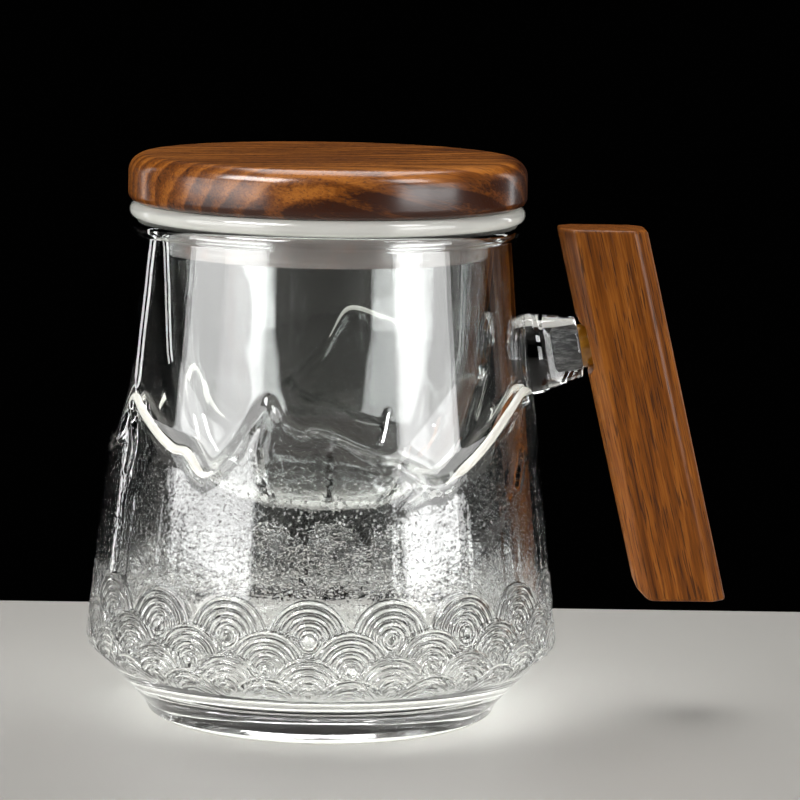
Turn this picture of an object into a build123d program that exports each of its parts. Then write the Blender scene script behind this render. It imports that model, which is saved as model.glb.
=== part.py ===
from build123d import *
import math
import os

# A glass tea mug with a hanging glass infuser, a turned walnut lid and a walnut handle.
# Millimetres. The mug stands on z = 0 with its axis on Z, and the handle is on the +X side.

# Glass body
body_height = 107.0        # table to the top of the rim
rim_radius = 41.8          # outside of the rolled rim
rim_bead = 1.5             # radius of the rim's round edge
neck_radius = 40.8         # outside of the cone, carried up to the top of the rim
shoulder_radius = 50.9     # outside of the cone, carried down to the shoulder
shoulder_height = 15.2     # table to the widest ring
shoulder_round = 3.0
kink_radius = 39.1         # where the chamfer meets the foot ring
foot_height = 2.4
foot_radius = 38.0
foot_round = 0.8
wall = 2.5
floor_height = 9.0         # table to the bottom of the cavity
floor_round = 14.0         # radius between the cavity's floor and its wall
recess_radius = 32.5       # hollow under the base
recess_depth = 1.5
recess_slope = 1.2         # how far the hollow's side leans in

# Relief pressed into the outside of the body
relief = 0.6               # how far it stands out of the cone
relief_root = 1.6          # how far the relief reaches into the wall
wave_low = 14.2            # foot of the waves, just under the shoulder
range_line = 52.0          # height up to which the relief goes all round
range_rise = 31.0          # the highest peak stands this far above that line
scale_count = 18           # wave scales in one row
scale_turn = -2.9          # degrees from the front to the first scale of the top row
scale_radius = 8.3
scale_heights = (24.6, 18.2, 13.1, 9.0)  # centre heights of the rows, from the top row down
scale_ring = 1.1           # width of one raised ring
scale_groove = 1.0         # width of the groove between two rings
scale_rings = 4            # the innermost is a round boss
plate_relief = 0.3         # how far a scale's plate stands out at its middle
scale_link = 27.7          # height of the short ledges between the top scales

# Handle stub of glass
stub_height = 78.2         # where its axis leaves the wall
stub_tilt = 10.0           # degrees that the axis rises
stub_length = 11.3
stub_seat = 1.0            # depth of the flat that it is fused into
stub_step = 2.2            # length of its root, out of the wall
stub_clearance = 0.05      # between the root's side and the relief round it
root_radius = 8.8
end_radius = 6.6
end_round = 0.7
socket_radius = 3.4
socket_depth = 6.6

# Dowel and adhesive
dowel_clearance = 0.1
dowel_in_grip = 9.0
dowel_round = 0.5
glue_gap = 0.9             # stub's end to the grip's inner face
glue_radius = 4.8
glue_clearance = 0.05

# Walnut grip
grip_width = 18.6          # across the bar, away from the mug
grip_depth = 15.0
grip_lean = 13.5           # degrees that the bar leans out towards its lower end
grip_top = 106.2
grip_bottom = 25.3
grip_bevel = 2.8
grip_edge = 0.6            # small chamfer round both cut ends
grip_heel = 1.4            # cut across the lower corner next to the mug
spot_radius = 7.4          # round spot face in the grip for the stub's end
spot_depth = 1.2

# Glass infuser
seat_gap = 0.1             # between pieces that rest on each other
infuser_radius = 37.4      # outside, below the flange
infuser_wall = 2.2
infuser_bottom = 46.0      # table to its lowest point
waist_radius = 36.6        # outside, where the wall turns in
waist_height = 76.0
waist_round = 30.0
hip_radius = 28.6          # where the wall's line would meet the flat bottom
hip_round = 20.0
flange_bead = 1.7          # radius of the flange's round edge
flange_radius = 42.65      # outside of the flange
flange_thickness = 2.6
flange_round = 1.6         # between the flange's underside and the wall
mouth_round = 1.0          # inner edge of the mouth
slot_count = 12
slot_width = 1.6
slot_length = 12.0
slot_middle = 56.5
slot_turn = -3.0           # degrees from the front to the first slot

# Walnut lid
lid_radius = 43.0
lid_thickness = 10.3
lid_top_round = 4.0
lid_bottom_round = 2.0
plug_radius = 32.6
plug_depth = 10.6
plug_round = 1.5

# Silicone seal
seal_radius = 34.5
seal_lip = 34.75           # outside of the bead along its lower edge
seal_height = 9.2
seal_top_gap = 0.4         # lid's underside to the seal
seal_bead = 0.8

# Shared by all cuts
overrun = 1.0

# Values worked out from the sizes above
flange_height = body_height + seat_gap
flange_middle = flange_height + flange_bead
flange_top = flange_middle + flange_bead
lid_base = flange_top + seat_gap
lid_top = lid_base + lid_thickness
cone_rise = body_height - shoulder_height
scale_step = 360 / scale_count


def cone_radius(height):
    # Outside radius of the smooth cone at a height above the table
    climb = (height - shoulder_height) / cone_rise
    return shoulder_radius + climb * (neck_radius - shoulder_radius)


def facing(angle):
    # Direction out of the axis, with zero degrees at the front and 90 at the handle
    turn = math.radians(angle)
    return (math.sin(turn), -math.cos(turn), 0)


def outward(angle):
    # Upright plane through the axis that looks the same way
    turn = math.radians(angle)
    return Plane(origin=(0, 0, 0), x_dir=(math.cos(turn), math.sin(turn), 0), z_dir=facing(angle))


# Axis of the stub, the dowel and the bead of glue
tilt = math.radians(stub_tilt)
stub_direction = (math.cos(tilt), 0, math.sin(tilt))
stub_root = Plane(origin=(cone_radius(stub_height), 0, stub_height), x_dir=(0, 1, 0), z_dir=stub_direction)
stub_end = stub_root.offset(stub_length)
stub_side = Plane(origin=stub_root.origin, x_dir=stub_direction, z_dir=(0, -1, 0))
stub_axis = Axis(stub_root.origin, stub_direction)

# The bar's own axis, with its inner face where the glue ends
lean = math.radians(grip_lean)
grip_out = Vector(math.cos(lean), 0, math.sin(lean))
grip_up = Vector(-math.sin(lean), 0, math.cos(lean))
grip_face = stub_root.offset(stub_length + glue_gap).origin
grip_section = Plane(origin=grip_face + grip_out * (grip_width / 2), x_dir=grip_out, z_dir=grip_up)

# Peaks of the mountain relief: degrees from the front, share of the range's rise,
# and how far the slopes run left and right as shares of the rise
peak_shares = [
    (-63.5, 0.60, 0.55, 0.75),
    (-42.0, 0.33, 0.50, 0.35),
    (-15.4, 0.68, 0.42, 0.55),
    (0.0, 0.48, 0.50, 1.10),
    (20.0, 0.30, 0.60, 0.40),
    (64.0, 0.66, 0.95, 0.60),
    (96.0, 0.70, 0.50, 0.70),
    (120.0, 0.36, 0.40, 0.60),
    (146.0, 0.60, 0.45, 0.50),
    (169.0, 1.00, 0.55, 0.50),
    (184.0, 0.62, 0.50, 0.75),
    (229.0, 0.57, 0.50, 0.80),
    (258.0, 0.30, 0.50, 0.60),
]

# Outer skin that the mountains are cut from
with BuildPart() as relief_skin:
    with BuildSketch(Plane.XZ):
        with BuildLine():
            skin_high = range_line + range_rise + overrun
            low = cone_radius(scale_link)
            high = cone_radius(skin_high)
            Polyline(
                (low - relief_root, scale_link),
                (low + relief, scale_link),
                (high + relief, skin_high),
                (high - relief_root, skin_high),
                close=True,
            )
        make_face()
    revolve(axis=Axis.Z)

# Flat in the wall that the stub is fused into
with BuildPart() as stub_flat:
    with BuildSketch(stub_root.offset(-stub_seat)):
        Circle(root_radius + stub_clearance)
    extrude(amount=stub_length)

# Mountains and the ground below them, down to the arched line over the top scales
with BuildPart() as mountains:
    with BuildSketch(Plane.XY.offset(scale_link)):
        Circle(shoulder_radius + overrun)
    extrude(amount=range_line - scale_link)
    for angle, height_share, left_share, right_share in peak_shares:
        with BuildSketch(outward(angle)):
            with BuildLine():
                summit = range_line + range_rise * height_share
                Polyline(
                    (-range_rise * left_share, range_line - overrun),
                    (range_rise * right_share, range_line - overrun),
                    (0, summit),
                    close=True,
                )
            make_face()
        extrude(amount=shoulder_radius + overrun)
    for scale in range(scale_count):
        with BuildSketch(outward(scale_turn + scale * scale_step)):
            with Locations((0, scale_heights[0])):
                Circle(scale_radius + scale_groove / 2)
        extrude(amount=shoulder_radius + overrun, mode=Mode.SUBTRACT)
    add(relief_skin.part, mode=Mode.INTERSECT)
    add(stub_flat.part, mode=Mode.SUBTRACT)


def wave_scale(row):
    # One scale at the front: a flat plate with raised rings, cut where lower scales lie over it
    middle = scale_heights[row]
    half_step = cone_radius(middle) * math.sin(math.radians(scale_step / 2))
    slope = math.atan2(shoulder_radius - neck_radius, cone_rise)
    normal = (0, -math.cos(slope), math.sin(slope))
    seat = Plane(origin=(0, -cone_radius(middle), middle), x_dir=(1, 0, 0), z_dir=normal)
    with BuildPart() as scale:
        with BuildSketch(seat.offset(-relief_root)):
            Circle(scale_radius)
        extrude(amount=relief_root + plate_relief)
        with BuildSketch(seat.offset(plate_relief)):
            for ring in range(scale_rings):
                Circle(scale_radius - ring * (scale_ring + scale_groove))
                if ring < scale_rings - 1:
                    Circle(scale_radius - scale_ring - ring * (scale_ring + scale_groove), mode=Mode.SUBTRACT)
        extrude(amount=relief - plate_relief)
        for lower, height in enumerate(scale_heights[row + 1:]):
            with BuildSketch(seat):
                drop = (height - middle) / math.cos(slope)
                sides = (0,) if lower % 2 else (-half_step, half_step)
                with Locations([(side, drop) for side in sides]):
                    Circle(scale_radius + scale_groove / 2)
            extrude(amount=relief_root + overrun, both=True, mode=Mode.SUBTRACT)
        split(bisect_by=Plane.XY.offset(wave_low), keep=Keep.TOP)
    return scale.part


# Waves: rows of scales round the bottom, each row half a step from the one above
with BuildPart() as waves:
    for row in range(len(scale_heights)):
        row_turn = scale_turn + row % 2 * scale_step / 2
        with PolarLocations(0, scale_count, start_angle=row_turn):
            add(wave_scale(row))

# Body: turned outline, rolled rim, cavity and the stub's flat, then the relief on its outside
with BuildPart() as mug_body:
    with BuildSketch(Plane.XZ):
        with BuildLine():
            Polyline(
                (0, recess_depth),
                (recess_radius - recess_slope, recess_depth),
                (recess_radius, 0),
                (foot_radius, 0),
                (kink_radius, foot_height),
                (shoulder_radius, shoulder_height),
                (neck_radius, body_height - rim_bead),
                (0, body_height - rim_bead),
                close=True,
            )
        make_face()
        fillet(vertices().sort_by(Axis.X)[-1], shoulder_round)
        fillet(vertices().sort_by_distance((foot_radius, 0))[0], foot_round)
    revolve(axis=Axis.Z)
    with BuildSketch(Plane.XZ):
        with Locations((rim_radius - rim_bead, body_height - rim_bead)):
            Circle(rim_bead)
    revolve(axis=Axis.Z)
    with BuildSketch(Plane.XZ):
        with BuildLine():
            cavity_top = body_height + overrun
            Polyline(
                (0, floor_height),
                (cone_radius(floor_height) - wall, floor_height),
                (cone_radius(cavity_top) - wall, cavity_top),
                (0, cavity_top),
                close=True,
            )
        make_face()
        fillet(vertices().sort_by(Axis.X)[-1], floor_round)
    revolve(axis=Axis.Z, mode=Mode.SUBTRACT)
    add(stub_flat.part, mode=Mode.SUBTRACT)
    add(mountains.part)
    add(waves.part)
mug_body.part.label = "mug_body"

# Stub: a turned boss with a short straight root, a tapered shaft and a blind socket
with BuildPart() as handle_stub:
    with BuildSketch(stub_side):
        with BuildLine():
            Polyline(
                (-stub_seat, 0),
                (-stub_seat, root_radius),
                (stub_step, root_radius),
                (stub_length, end_radius),
                (stub_length, 0),
                close=True,
            )
        make_face()
        fillet(vertices().sort_by(Axis.X)[-2:].sort_by(Axis.Z)[-1], end_round)
    revolve(axis=stub_axis)
    with BuildSketch(stub_end):
        Circle(socket_radius)
    extrude(amount=-socket_depth, mode=Mode.SUBTRACT)
handle_stub.part.label = "handle_stub"

# Grip: a bevelled bar cut level at both ends, with a spot face and a hole on the stub's axis
with BuildPart() as handle_grip:
    with BuildSketch(grip_section):
        Rectangle(grip_width, grip_depth)
        chamfer(vertices(), grip_bevel)
    extrude(amount=body_height, both=True)
    split(bisect_by=Plane.XY.offset(grip_top), keep=Keep.BOTTOM)
    split(bisect_by=Plane.XY.offset(grip_bottom), keep=Keep.TOP)
    heel_edge = faces().sort_by(Axis.Z)[0].edges().sort_by(Axis.X)[0]
    chamfer(faces().filter_by(Axis.Z).edges(), grip_edge)
    heel_up = Vector(1, 0, 1).normalized()
    heel_point = Vector(heel_edge.center().X, 0, grip_bottom) + heel_up * grip_heel
    split(bisect_by=Plane(origin=heel_point, x_dir=(0, 1, 0), z_dir=heel_up), keep=Keep.TOP)
    with BuildSketch(Plane(origin=grip_face, x_dir=(0, 1, 0), z_dir=grip_out)):
        Circle(spot_radius)
    extrude(amount=spot_depth, mode=Mode.SUBTRACT)
    with BuildSketch(stub_end):
        Circle(socket_radius)
    extrude(amount=dowel_in_grip + dowel_clearance, mode=Mode.SUBTRACT)
handle_grip.part.label = "handle_grip"

# Dowel: a round peg through the joint, a little short of the bottom of both holes
with BuildPart() as handle_dowel:
    with BuildSketch(stub_end.offset(dowel_clearance - socket_depth)):
        Circle(socket_radius - dowel_clearance)
    extrude(amount=socket_depth - dowel_clearance + dowel_in_grip)
    chamfer(edges().filter_by(GeomType.CIRCLE), dowel_round)
handle_dowel.part.label = "handle_dowel"

# Glue: a ring between the stub's end and the floor of the spot face
with BuildPart() as handle_adhesive:
    with BuildSketch(stub_end):
        Circle(glue_radius)
        Circle(socket_radius - dowel_clearance + glue_clearance, mode=Mode.SUBTRACT)
    extrude(amount=glue_gap + spot_depth + overrun)
    split(
        bisect_by=Plane(origin=grip_face + grip_out * spot_depth, x_dir=(0, 1, 0), z_dir=grip_out),
        keep=Keep.BOTTOM,
    )
handle_adhesive.part.label = "handle_adhesive"

# Infuser: wall with a rounded bottom, a flange with a round edge, and slots all round
with BuildPart() as infuser:
    with BuildSketch(Plane.XZ):
        with BuildLine():
            FilletPolyline(
                (infuser_radius, flange_middle),
                (waist_radius, waist_height),
                (hip_radius, infuser_bottom),
                (0, infuser_bottom),
                radius=[waist_round, hip_round],
            )
            offset(amount=infuser_wall, side=Side.RIGHT)
        make_face()
    revolve(axis=Axis.Z)
    with BuildSketch(Plane.XZ):
        with BuildLine():
            lip_inside = infuser_radius - infuser_wall
            lip_outside = flange_radius - flange_bead
            lip_low = flange_middle - flange_thickness / 2
            lip_high = flange_middle + flange_thickness / 2
            neck_low = lip_low - flange_round - mouth_round
            Polyline(
                (lip_inside, neck_low),
                (infuser_radius, neck_low),
                (infuser_radius, lip_low),
                (lip_outside, lip_low),
                (lip_outside, lip_high),
                (lip_inside, lip_high),
                close=True,
            )
        make_face()
        fillet(vertices().sort_by_distance((infuser_radius, lip_low))[0], flange_round)
        fillet(vertices().sort_by_distance((lip_inside, lip_high))[0], mouth_round)
    revolve(axis=Axis.Z)
    with BuildSketch(Plane.XZ):
        with Locations((lip_outside, flange_middle)):
            Circle(flange_bead)
    revolve(axis=Axis.Z)
    for slot in range(slot_count):
        with BuildSketch(outward(slot_turn + slot * 360 / slot_count)):
            with Locations((0, slot_middle)):
                SlotOverall(slot_length, slot_width, rotation=90)
        extrude(amount=infuser_radius + overrun, mode=Mode.SUBTRACT)
infuser.part.label = "infuser"

# Lid: a turned disc with rounded edges, and the plug below it that carries the seal
with BuildPart() as lid:
    with BuildSketch(Plane.XZ):
        with BuildLine():
            Polyline(
                (0, lid_base - plug_depth),
                (plug_radius, lid_base - plug_depth),
                (plug_radius, lid_base),
                (lid_radius, lid_base),
                (lid_radius, lid_top),
                (0, lid_top),
                close=True,
            )
        make_face()
        fillet(vertices().sort_by_distance((lid_radius, lid_top))[0], lid_top_round)
        fillet(vertices().sort_by_distance((lid_radius, lid_base))[0], lid_bottom_round)
        fillet(vertices().sort_by_distance((plug_radius, lid_base - plug_depth))[0], plug_round)
    revolve(axis=Axis.Z)
lid.part.label = "lid"

# Seal: a sleeve round the plug with a bead along its lower edge
with BuildPart() as lid_seal:
    with BuildSketch(Plane.XZ):
        seal_low = lid_base - seal_top_gap - seal_height
        with Locations(((plug_radius + seal_radius) / 2, seal_low + seal_height / 2)):
            Rectangle(seal_radius - plug_radius, seal_height)
        fillet(vertices().group_by(Axis.X)[-1], seal_bead)
        with Locations((seal_lip - seal_bead, seal_low + seal_bead)):
            Circle(seal_bead)
    revolve(axis=Axis.Z)
lid_seal.part.label = "lid_seal"

# Files, one for each piece
os.makedirs("parts", exist_ok=True)
for piece in (mug_body, handle_stub, handle_dowel, handle_adhesive, handle_grip, infuser, lid, lid_seal):
    export_step(piece.part, f"parts/{piece.part.label}.step")
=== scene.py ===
import math
import bpy
import numpy
from mathutils import Matrix, Vector


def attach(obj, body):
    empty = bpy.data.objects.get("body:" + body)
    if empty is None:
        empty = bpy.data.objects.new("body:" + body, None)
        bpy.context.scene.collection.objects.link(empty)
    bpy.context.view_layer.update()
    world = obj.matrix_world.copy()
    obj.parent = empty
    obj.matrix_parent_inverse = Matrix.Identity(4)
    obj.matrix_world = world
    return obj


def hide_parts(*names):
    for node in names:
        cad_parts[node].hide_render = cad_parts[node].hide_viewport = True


# Glass tea mug with a walnut lid and grip. Settings are in millimetres unless they say otherwise.

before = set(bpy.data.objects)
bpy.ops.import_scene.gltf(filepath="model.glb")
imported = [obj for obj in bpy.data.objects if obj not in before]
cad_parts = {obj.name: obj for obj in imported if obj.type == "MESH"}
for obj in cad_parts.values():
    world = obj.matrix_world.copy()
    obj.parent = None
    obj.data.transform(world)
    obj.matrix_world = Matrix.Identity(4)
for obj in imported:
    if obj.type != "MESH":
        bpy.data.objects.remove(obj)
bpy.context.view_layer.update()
mm = 0.001
print("frame loaded:", ", ".join(sorted(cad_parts)))

coneSettings = {
    "shoulderRadius": 50.9,
    "shoulderHeight": 15.2,
    "neckRadius": 40.8,
    "rimHeight": 107.0,
}


def coneRadius(height):
    # Outside radius of the smooth cone at a height, for a number or an array
    low, high = coneSettings["shoulderHeight"], coneSettings["rimHeight"]
    wide, narrow = coneSettings["shoulderRadius"], coneSettings["neckRadius"]
    return wide + (height - low) / (high - low) * (narrow - wide)


def smoothStep(low, high, value):
    share = numpy.clip((value - low) / (high - low), 0, 1)
    return share * share * (3 - 2 * share)


# Modelling helpers

def roundCorners(corners, arcStep=0.2):
    # Turns (x, z, radius) corners into outline points, with an arc wherever a radius is given
    outline = []
    for index, (x, z, radius) in enumerate(corners):
        here = Vector((x, z))
        if radius == 0:
            outline.append(here)
            continue
        before = (Vector(corners[index - 1][:2]) - here).normalized()
        after = (Vector(corners[(index + 1) % len(corners)][:2]) - here).normalized()
        half = before.angle(after) / 2
        centre = here + (before + after).normalized() * (radius / math.sin(half))
        start = here + before * (radius / math.tan(half)) - centre
        end = here + after * (radius / math.tan(half)) - centre
        turn = math.atan2(start.x * end.y - start.y * end.x, start.dot(end))
        count = max(2, round(abs(turn) / arcStep))
        for step in range(count + 1):
            angle = turn * step / count
            outline.append(centre + Vector((
                start.x * math.cos(angle) - start.y * math.sin(angle),
                start.x * math.sin(angle) + start.y * math.cos(angle),
            )))
    return outline


def selectOnly(*pieces):
    # Selects these objects and nothing else, with the first of them active
    bpy.ops.object.select_all(action="DESELECT")
    for piece in reversed(pieces):
        piece.select_set(True)
        bpy.context.view_layer.objects.active = piece


def nameNew(name):
    # Names the object that an operator has just made, and its mesh
    piece = bpy.context.object
    piece.name = name
    piece.data.name = name
    return piece


def closeMesh():
    # In edit mode: merges seams and poles, then turns all faces outwards
    bpy.ops.mesh.select_all(action="SELECT")
    bpy.ops.mesh.remove_doubles(threshold=0.003 * mm)
    bpy.ops.mesh.normals_make_consistent(inside=False)


def drawOutline(name, outline):
    # One vertex, extruded from point to point along the half section
    selectOnly()
    bpy.ops.mesh.primitive_plane_add(size=mm)
    piece = nameNew(name)
    bpy.ops.object.mode_set(mode="EDIT")
    bpy.ops.mesh.select_all(action="SELECT")
    bpy.ops.mesh.merge(type="CENTER")
    bpy.ops.transform.translate(value=(outline[0].x * mm, 0, outline[0].y * mm))
    for here, there in zip(outline, outline[1:]):
        step = ((there.x - here.x) * mm, 0, (there.y - here.y) * mm)
        bpy.ops.mesh.extrude_vertices_move(TRANSFORM_OT_translate={"value": step})
    bpy.ops.object.mode_set(mode="OBJECT")
    return piece


def spinOutline(columns, centre=(0, 0, 0), axis=(0, 0, 1)):
    # Turns the outline that has just been drawn into a closed piece
    bpy.ops.object.mode_set(mode="EDIT")
    bpy.ops.mesh.select_all(action="SELECT")
    bpy.ops.mesh.spin(steps=columns, angle=2 * math.pi, center=centre, axis=axis)
    closeMesh()
    bpy.ops.object.mode_set(mode="OBJECT")


def deselectMesh(mesh):
    for item in (*mesh.vertices, *mesh.edges, *mesh.polygons):
        item.select = False


def paintMask(piece, name, values):
    mask = piece.data.attributes.new(name, "FLOAT", "POINT")
    mask.data.foreach_set("value", values.astype(numpy.float32))


def finishPiece(piece, body, material, nodes, smoothAngle, lip=None, lipBelow=0, lipAbove=1000):
    # smoothAngle is in degrees. lip is a second material for the faces under one height and over another.
    selectOnly(piece)
    bpy.ops.object.shade_smooth_by_angle(angle=math.radians(smoothAngle))
    piece.data.materials.clear()
    piece.data.materials.append(material)
    if lip:
        piece.data.materials.append(lip)
        for face in piece.data.polygons:
            face.material_index = int(not lipBelow * mm < face.center.z < lipAbove * mm)
    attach(piece, body)
    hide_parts(*nodes)
    print("made", piece.name, len(piece.data.polygons), "faces")


# Material helpers. Each adds one step to a node tree and gives back its output.

def mathStep(tree, operation, *values):
    node = tree.nodes.new("ShaderNodeMath")
    node.operation = operation
    for socket, value in zip(node.inputs, values):
        if isinstance(value, bpy.types.NodeSocket):
            tree.links.new(value, socket)
        else:
            socket.default_value = value
    return node.outputs[0]


def rangeStep(tree, value, low, high, outLow=0.0, outHigh=1.0):
    node = tree.nodes.new("ShaderNodeMapRange")
    node.interpolation_type = "SMOOTHSTEP"
    tree.links.new(value, node.inputs["Value"])
    setSockets(node, {"From Min": low, "From Max": high, "To Min": outLow, "To Max": outHigh})
    return node.outputs["Result"]


def stretchStep(tree, vector, scale, turn=(0, 0, 0), shift=(0, 0, 0)):
    node = tree.nodes.new("ShaderNodeMapping")
    tree.links.new(vector, node.inputs["Vector"])
    setSockets(node, {"Location": shift, "Rotation": turn, "Scale": scale})
    return node.outputs["Vector"]


def noiseStep(tree, vector, scale, detail=2.0, roughness=0.5):
    node = tree.nodes.new("ShaderNodeTexNoise")
    tree.links.new(vector, node.inputs["Vector"])
    setSockets(node, {"Scale": scale, "Detail": detail, "Roughness": roughness})
    return node.outputs["Fac"]


def grainStep(tree, vector, along, across, detail=2.0, roughness=0.5):
    # Noise drawn out along X
    return noiseStep(tree, stretchStep(tree, vector, (along, across, across)), 1.0, detail, roughness)


def splitStep(tree, vector):
    node = tree.nodes.new("ShaderNodeSeparateXYZ")
    tree.links.new(vector, node.inputs[0])
    return node.outputs


def lengthStep(tree, **sides):
    # Length of a vector, given by the sockets of some of its axes
    flat = tree.nodes.new("ShaderNodeCombineXYZ")
    for axis, side in sides.items():
        tree.links.new(side, flat.inputs[axis])
    length = tree.nodes.new("ShaderNodeVectorMath")
    length.operation = "LENGTH"
    tree.links.new(flat.outputs[0], length.inputs[0])
    return length.outputs["Value"]


def rampStep(tree, value, *stops):
    # Colour ramp through (place, colour) stops
    node = tree.nodes.new("ShaderNodeValToRGB")
    marks = node.color_ramp.elements
    for mark, (place, colour) in ((marks[0], stops[0]), (marks[1], stops[-1])):
        mark.position = place
        mark.color = (*colour, 1)
    for place, colour in stops[1:-1]:
        marks.new(place).color = (*colour, 1)
    tree.links.new(value, node.inputs["Fac"])
    return node.outputs["Color"]


def setSockets(node, values):
    for label, value in values.items():
        node.inputs[label].default_value = value


def newGroup(name, inputs, outputs):
    # Node group with the named sockets, given as label and kind
    group = bpy.data.node_groups.new(name, "ShaderNodeTree")
    for way, sockets in (("INPUT", inputs), ("OUTPUT", outputs)):
        for label, kind in sockets.items():
            group.interface.new_socket(name=label, in_out=way, socket_type="NodeSocket" + kind)
    return group, group.nodes.new("NodeGroupInput").outputs, group.nodes.new("NodeGroupOutput").inputs


def placeGroup(tree, group, position):
    node = tree.nodes.new("ShaderNodeGroup")
    node.node_tree = group
    tree.links.new(position, node.inputs["Position"])
    return node


def newMaterial(name):
    material = bpy.data.materials.new(name)
    material.use_nodes = True
    tree = material.node_tree
    place = tree.nodes.new("ShaderNodeTexCoord")
    return material, tree, tree.nodes["Principled BSDF"], place.outputs["Object"]


def addBump(tree, height, shader):
    bump = tree.nodes.new("ShaderNodeBump")
    setSockets(bump, {"Strength": 1.0, "Distance": 1.0})
    tree.links.new(height, bump.inputs["Height"])
    tree.links.new(bump.outputs["Normal"], shader.inputs["Normal"])


def letLampsThrough(tree, shader, tint):
    # Lamps shine through the clear pieces, so that what they cover is lit as it is behind real glass
    path = tree.nodes.new("ShaderNodeLightPath")
    clear = tree.nodes.new("ShaderNodeBsdfTransparent")
    clear.inputs["Color"].default_value = (*tint, 1)
    mix = tree.nodes.new("ShaderNodeMixShader")
    tree.links.new(path.outputs["Is Shadow Ray"], mix.inputs[0])
    tree.links.new(shader.outputs[0], mix.inputs[1])
    tree.links.new(clear.outputs[0], mix.inputs[2])
    tree.links.new(mix.outputs[0], tree.nodes["Material Output"].inputs["Surface"])


# Pressed pattern of overlapping scales with raised rings, for the foot of the glass

waveSettings = {
    "centres": [24.6, 18.2, 13.1, 9.0],    # heights of the rows' centres, from the top row down
    "count": 18,
    "turn": -2.9,    # degrees from the front to the first scale of the top row
    "radius": 8.3,
    "ringRadius": 49.6,    # radius at which the step between two scales is measured
    "ringPitch": 1.5,
    "ringPhase": 2.4,    # radians
    "ringSharpness": 2.2,
    "ringHeight": 0.40,
    "ringEdge": (0.15, -0.25),    # from outside to inside, off the scale's radius
    "drop": (1.3, 0.2),    # foot and top of the drop in the middle of a scale
    "dropHeight": 0.42,
    "plate": 0.34,    # thickness of a scale
    "plateEdge": (0.2, -0.3),
    "plateRim": (0.22, 3.0, 7.0),    # extra thickness, and the radii between which it sets in
    "plateEye": (0.14, 1.6, 0.6),
}


def buildWaveGroup():
    group, entry, leave = newGroup("pressedWaves", {"Position": "Vector"}, {"Relief": "Float"})
    split = splitStep(group, entry["Position"])
    angle = mathStep(group, "ARCTAN2", split["X"], mathStep(group, "MULTIPLY", split["Y"], -1.0))
    around = mathStep(group, "MULTIPLY", angle, waveSettings["count"] / (2 * math.pi))
    stepLength = 2 * math.pi * waveSettings["ringRadius"] / waveSettings["count"] * mm
    radius = waveSettings["radius"]
    outer, inner = waveSettings["ringEdge"]
    dropFoot, dropTop = waveSettings["drop"]
    relief = None
    for row, centre in enumerate(waveSettings["centres"]):
        start = waveSettings["turn"] / 360 * waveSettings["count"] + row % 2 * 0.5
        wrapped = mathStep(group, "WRAP", mathStep(group, "SUBTRACT", around, start), 0.5, -0.5)
        across = mathStep(group, "MULTIPLY", wrapped, stepLength)
        rise = mathStep(group, "SUBTRACT", split["Z"], centre * mm)
        distance = lengthStep(group, X=across, Y=rise)
        fromEdge = mathStep(group, "SUBTRACT", radius * mm, distance)
        turns = mathStep(group, "MULTIPLY", fromEdge, 2 * math.pi / (waveSettings["ringPitch"] * mm))
        wave = mathStep(group, "COSINE", mathStep(group, "SUBTRACT", turns, waveSettings["ringPhase"]))
        crest = mathStep(group, "MULTIPLY_ADD", wave, 0.5, 0.5)
        crest = mathStep(group, "POWER", crest, waveSettings["ringSharpness"])
        ring = mathStep(group, "MULTIPLY", crest, waveSettings["ringHeight"] * mm)
        drop = rangeStep(group, distance, dropFoot * mm, dropTop * mm, 0.0, waveSettings["dropHeight"] * mm)
        ring = mathStep(group, "MAXIMUM", ring, drop)
        inside = rangeStep(group, distance, (radius + outer) * mm, (radius + inner) * mm)
        if relief is None:
            relief = mathStep(group, "MULTIPLY", ring, inside)
        else:    # a lower row covers the rows above it
            change = mathStep(group, "SUBTRACT", ring, relief)
            relief = mathStep(group, "ADD", relief, mathStep(group, "MULTIPLY", change, inside))
    group.links.new(relief, leave["Relief"])
    return group


# Slow waviness that all pressed glass has, and hammered dimples where the mask is on

skinSettings = {
    "slowScale": 55,
    "slowHeight": 0.08,
    "shakeScale": 420,    # what makes the dimples uneven
    "shakeReach": 1.1,
    "dimpleScale": 1000,
    "dimple": (0.08, 0.32),    # its floor and its edge, as shares of a cell
    "dimpleDepth": 0.06,
    "gritScale": 700,
    "gritHeight": 0.035,
}


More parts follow.
